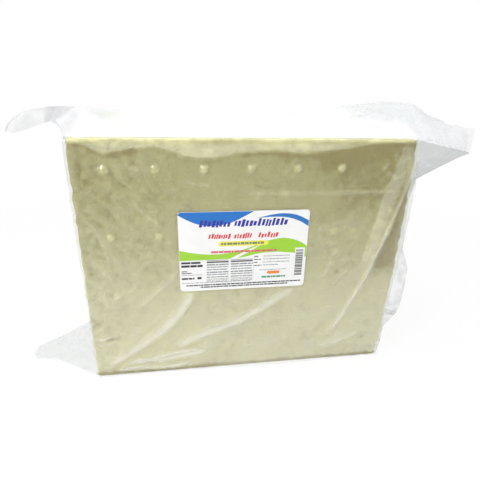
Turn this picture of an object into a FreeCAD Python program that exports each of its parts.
import FreeCAD, Part
import math
import os

# A 40 lb block of hard white cheese, sealed in a clear vacuum pouch with a label on its front.
# Millimetres. +X runs along the block, +Y to its back, +Z up. The origin is the middle of the base.
# The pouch is a tube of film round the block's length. At each end it is flattened to an upright
# seam, so film is left over at the four corners of the ends, and stands out there as hollow ears.

Vec = FreeCAD.Vector

# The cheese: 14 x 7 x 11 in
BLOCK_LENGTH = 356.0
BLOCK_DEPTH = 178.0
BLOCK_HEIGHT = 280.0
UPRIGHT_ROUND = 3.5  # radius along the four upright edges
RIM_ROUND = 5.0  # radius round the top and the bottom face

# Nubs that the drain holes of the press plates leave on the front and the back
NUB_WIDTH = 9.0
NUB_HEIGHT = 2.5
NUB_COLUMNS = 7
NUB_ROWS = 4
NUB_SIDE_MARGIN = 30.1  # from the end faces to the outer columns
NUB_TOP_MARGIN = 28.0  # from the cheese's top to the highest row
NUB_ROW_BOTTOM = 36.0  # height of the lowest row above the cheese's base

# The film, drawn thicker than the real one of about 0.1 mm so that it is a sound solid
FILM = 0.6
SEAL_WIDTH = 10.0  # width of the welded band at the tip of an ear

# The loose fold of film along the back of the top
FOLD_WIDTH = 52.0
FOLD_RISE = 13.5
FOLD_RUN_IN = 85.0  # length over which an ear's width and height run into the fold

# The ears. Reach is measured out from the end face, rise and the tip's low and high from the
# edge that the ear grows from, and the tip's offset from the middle of the depth.
TOP_LEFT_REACH = 86.0
TOP_LEFT_RISE = 22.0
TOP_LEFT_TIP_LOW = -5.0
TOP_LEFT_TIP_HIGH = -1.5
TOP_RIGHT_REACH = 140.0
TOP_RIGHT_RISE = 33.0
TOP_RIGHT_TIP_LOW = -28.0
TOP_RIGHT_TIP_HIGH = 3.0
FOOT_LEFT_REACH = 89.0
FOOT_LEFT_TIP_OFFSET = -28.0
FOOT_RIGHT_REACH = 84.0
FOOT_RIGHT_TIP_OFFSET = 3.0
FOOT_RISE = 9.0  # height of a lower ear where it meets the end face
FOOT_TIP_HEIGHT = 2.4
TIP_HALF_WIDTH = 4.0
FOOT_TIP_HALF_WIDTH = 8.0

# The end seams: the left one is folded flat on the cheese, the right one stands out as a fin
LEFT_SEAM_WIDTH = 14.0
FIN_FOOT_REACH = 84.0  # the fin's reach near the floor
FIN_WAIST_REACH = 66.0  # its reach at mid height
FIN_WAIST_HEIGHT = 150.0
FIN_SHOULDER_DROP = 64.6  # from the cheese's top to where its edge turns outwards to the ear's tip

# The label
LABEL_WIDTH = 144.0
LABEL_HEIGHT = 94.0
LABEL_THICKNESS = 0.3
LABEL_ROUND = 4.0
LABEL_CENTRE_X = -4.5
LABEL_CENTRE_Z = 159.0

# Worked out from the sizes above
HALF_LENGTH = BLOCK_LENGTH / 2
HALF_DEPTH = BLOCK_DEPTH / 2
CHEESE_BASE = FILM
CHEESE_TOP = CHEESE_BASE + BLOCK_HEIGHT
NUB_PITCH_X = (BLOCK_LENGTH - 2 * NUB_SIDE_MARGIN) / (NUB_COLUMNS - 1)
NUB_PITCH_Z = (BLOCK_HEIGHT - NUB_TOP_MARGIN - NUB_ROW_BOTTOM) / (NUB_ROWS - 1)
FIN_SHOULDER_HEIGHT = CHEESE_TOP - FIN_SHOULDER_DROP
SUNK = 1.0  # how far the ears' hollow solids reach into the cheese, before it is cut away
FOLD_INSET = 4.0  # how many film thicknesses the air inside an ear stays clear of its folded edges


def ease(share):
    """0 to 1 with a level start and end, and held there outside that range."""
    share = min(max(share, 0.0), 1.0)
    return share * share * (3 - 2 * share)


def mixed(start, end, share):
    return start + (end - start) * share


def rounded_block(grow):
    """The cheese's block without its nubs, grown by the same amount on every side."""
    corner = Vec(-HALF_LENGTH - grow, -HALF_DEPTH - grow, CHEESE_BASE - grow)
    size = (BLOCK_LENGTH + 2 * grow, BLOCK_DEPTH + 2 * grow, BLOCK_HEIGHT + 2 * grow)
    block = Part.makeBox(*size, corner)
    upright = [edge for edge in block.Edges if abs(edge.tangentAt(0).z) > 0.5]
    block = block.makeFillet(UPRIGHT_ROUND + grow, upright)
    low, high = block.BoundBox.ZMin, block.BoundBox.ZMax
    rims = [
        edge
        for edge in block.Edges
        if edge.BoundBox.ZLength < 0.01 and min(edge.BoundBox.ZMin - low, high - edge.BoundBox.ZMin) < 0.01
    ]
    return block.makeFillet(RIM_ROUND + grow, rims)


def under_label(x, z, reach):
    beside = abs(x - LABEL_CENTRE_X) < LABEL_WIDTH / 2 + reach
    level = abs(z - LABEL_CENTRE_Z) < LABEL_HEIGHT / 2 + reach
    return beside and level


def nubs(grow):
    """Shallow domes in rows on the front and the back. The label lies on film without any."""
    base_radius = NUB_WIDTH / 2
    dome_radius = (base_radius**2 + NUB_HEIGHT**2) / (2 * NUB_HEIGHT)
    middle = HALF_DEPTH + NUB_HEIGHT - dome_radius
    domes = []
    for column in range(NUB_COLUMNS):
        x = (column - (NUB_COLUMNS - 1) / 2) * NUB_PITCH_X
        for row in range(NUB_ROWS):
            z = CHEESE_BASE + NUB_ROW_BOTTOM + row * NUB_PITCH_Z
            if not under_label(x, z, base_radius + FILM):
                domes.append(Part.makeSphere(dome_radius + grow, Vec(x, -middle, z)))
            domes.append(Part.makeSphere(dome_radius + grow, Vec(x, middle, z)))
    return domes


def cheese():
    return rounded_block(0).multiFuse(nubs(0)).removeSplitter().Solids[0]


def bow_section(x, front, back, low, high, inset):
    """A closed outline across the block: half an ellipse from front to back over a straight chord.

    An inset one lies inside the plain one, and further in at its two ends, where film folds over.
    """
    middle = (front + back) / 2
    half_width = (back - front) / 2 - FOLD_INSET * inset
    rise = high - low - 2 * inset
    steps = 12
    turns = [math.pi * step / steps for step in range(steps + 1)]
    points = [
        Vec(x, middle - half_width * math.cos(turn), low + inset + rise * math.sin(turn)) for turn in turns
    ]
    bow = Part.BSplineCurve()
    bow.interpolate(points)
    return Part.Wire([bow.toShape(), Part.makeLine(points[-1], points[0])])


def top_section(x, inset):
    """The loose film over the top at x: an ear beyond either end, and between them the back fold."""
    if x < 0:
        reach, rise = TOP_LEFT_REACH, TOP_LEFT_RISE
        tip_low, tip_high = TOP_LEFT_TIP_LOW, TOP_LEFT_TIP_HIGH
    else:
        reach, rise = TOP_RIGHT_REACH, TOP_RIGHT_RISE
        tip_low, tip_high = TOP_RIGHT_TIP_LOW, TOP_RIGHT_TIP_HIGH
    beyond = abs(x) - HALF_LENGTH
    if beyond > 0:
        share = beyond / reach
        half_width = mixed(HALF_DEPTH, TIP_HALF_WIDTH, share)
        falling = ease((share - 0.35) / 0.45)
        low = CHEESE_TOP - SUNK + (tip_low + SUNK) * share
        high = CHEESE_TOP + mixed(rise, tip_high, falling)
        return bow_section(x, -half_width, half_width, low, high, inset)
    run_in = ease(-beyond / FOLD_RUN_IN)
    front = mixed(-HALF_DEPTH, HALF_DEPTH - FOLD_WIDTH, run_in)
    high = CHEESE_TOP + mixed(rise, FOLD_RISE, run_in)
    return bow_section(x, front, HALF_DEPTH, CHEESE_TOP - SUNK, high, inset)


def loose_top(inset, first, last):
    """The loose film over the top as a solid, from one tip's weld to the other's."""
    left_weld = -HALF_LENGTH - TOP_LEFT_REACH + SEAL_WIDTH
    right_weld = HALF_LENGTH + TOP_RIGHT_REACH - SEAL_WIDTH
    inner = HALF_LENGTH - FOLD_RUN_IN
    spans = [(left_weld, -HALF_LENGTH, 7), (-HALF_LENGTH, -inner, 7), (-inner, inner, 4)]
    spans += [(inner, HALF_LENGTH, 7), (HALF_LENGTH, right_weld, 11)]
    places = [mixed(start, end, step / steps) for start, end, steps in spans for step in range(steps)]
    places = [left_weld - SEAL_WIDTH] + places + [right_weld, right_weld + SEAL_WIDTH]
    return Part.makeLoft([top_section(x, inset) for x in places[first:last]], True, True)


def foot_ear(side, reach, tip_offset, inset, last):
    """A lower ear, lying on the floor. side is -1 for the left end and 1 for the right one."""
    start = -UPRIGHT_ROUND - RIM_ROUND
    steps = 8
    distances = [mixed(start, reach - SEAL_WIDTH, step / steps) for step in range(steps + 1)] + [reach]
    sections = []
    for beyond in distances[:last]:
        share = max(beyond, 0) / reach
        half_width = mixed(HALF_DEPTH - RIM_ROUND, FOOT_TIP_HALF_WIDTH, share)
        middle = tip_offset * share
        high = mixed(FOOT_RISE, FOOT_TIP_HEIGHT, ease(share))
        x = side * (HALF_LENGTH + beyond)
        sections.append(bow_section(x, middle - half_width, middle + half_width, 0, high, inset))
    return Part.makeLoft(sections, True, True)


def fin():
    """The right end's seam: a welded double sheet that stands out from the middle of the end."""
    near = HALF_LENGTH - SUNK
    shoulder = Vec(HALF_LENGTH + FIN_WAIST_REACH + 2, 0, FIN_SHOULDER_HEIGHT)
    edge_points = [
        Vec(HALF_LENGTH + FIN_FOOT_REACH - 2, 0, 0),
        Vec(HALF_LENGTH + FIN_FOOT_REACH, 0, FIN_WAIST_HEIGHT * 0.3),
        Vec(HALF_LENGTH + mixed(FIN_WAIST_REACH, FIN_FOOT_REACH, 0.5), 0, FIN_WAIST_HEIGHT * 0.6),
        Vec(HALF_LENGTH + FIN_WAIST_REACH, 0, FIN_WAIST_HEIGHT),
        shoulder,
    ]
    free_edge = Part.BSplineCurve()
    free_edge.interpolate(edge_points)
    tip_x = HALF_LENGTH + TOP_RIGHT_REACH
    corners = [
        shoulder,
        Vec(tip_x, 0, CHEESE_TOP + TOP_RIGHT_TIP_LOW),
        Vec(tip_x, 0, CHEESE_TOP + TOP_RIGHT_TIP_HIGH - FILM),
        Vec(near, 0, CHEESE_TOP),
        Vec(near, 0, 0),
        edge_points[0],
    ]
    lines = [Part.makeLine(start, end) for start, end in zip(corners, corners[1:])]
    sheet = Part.Face(Part.Wire([free_edge.toShape()] + lines))
    sheet.translate(Vec(0, -FILM, 0))
    return sheet.extrude(Vec(0, 2 * FILM, 0))


def left_seam():
    """The left end's seam, folded flat on the end face."""
    thickness = 2 * FILM
    height = BLOCK_HEIGHT - 2 * (RIM_ROUND + FOOT_RISE)
    corner = Vec(-HALF_LENGTH - FILM - thickness, 0, RIM_ROUND + FOOT_RISE)
    return Part.makeBox(thickness + FILM / 2, LEFT_SEAM_WIDTH, height, corner)


def pouch(contents):
    """The film: the outer form of cling film, ears and seams, less the cheese and the ears' air."""
    ends = [(-1, FOOT_LEFT_REACH, FOOT_LEFT_TIP_OFFSET), (1, FOOT_RIGHT_REACH, FOOT_RIGHT_TIP_OFFSET)]
    outer = rounded_block(FILM).multiFuse(nubs(FILM))
    filled = contents
    for swollen in [loose_top(0, 0, None)] + [foot_ear(*end, 0, None) for end in ends]:
        outer = outer.fuse(swollen)
    for air in [loose_top(FILM, 1, -1)] + [foot_ear(*end, FILM, -1) for end in ends]:
        filled = filled.fuse(air)
    return outer.fuse(fin()).fuse(left_seam()).cut(filled)


def label():
    width, height = LABEL_WIDTH, LABEL_HEIGHT
    front = -HALF_DEPTH - FILM - LABEL_THICKNESS
    corner = Vec(LABEL_CENTRE_X - width / 2, front, LABEL_CENTRE_Z - height / 2)
    sheet = Part.makeBox(width, LABEL_THICKNESS, height, corner)
    across = [edge for edge in sheet.Edges if abs(edge.tangentAt(0).y) > 0.5]
    return sheet.makeFillet(LABEL_ROUND, across)


os.makedirs("parts", exist_ok=True)
block = cheese()
for name, shape in {"cheese_block": block, "film_pouch": pouch(block), "label": label()}.items():
    print(name, len(shape.Solids), "solid", shape.isValid(), round(shape.Volume), "mm3")
    shape.exportStep("parts/" + name + ".step")
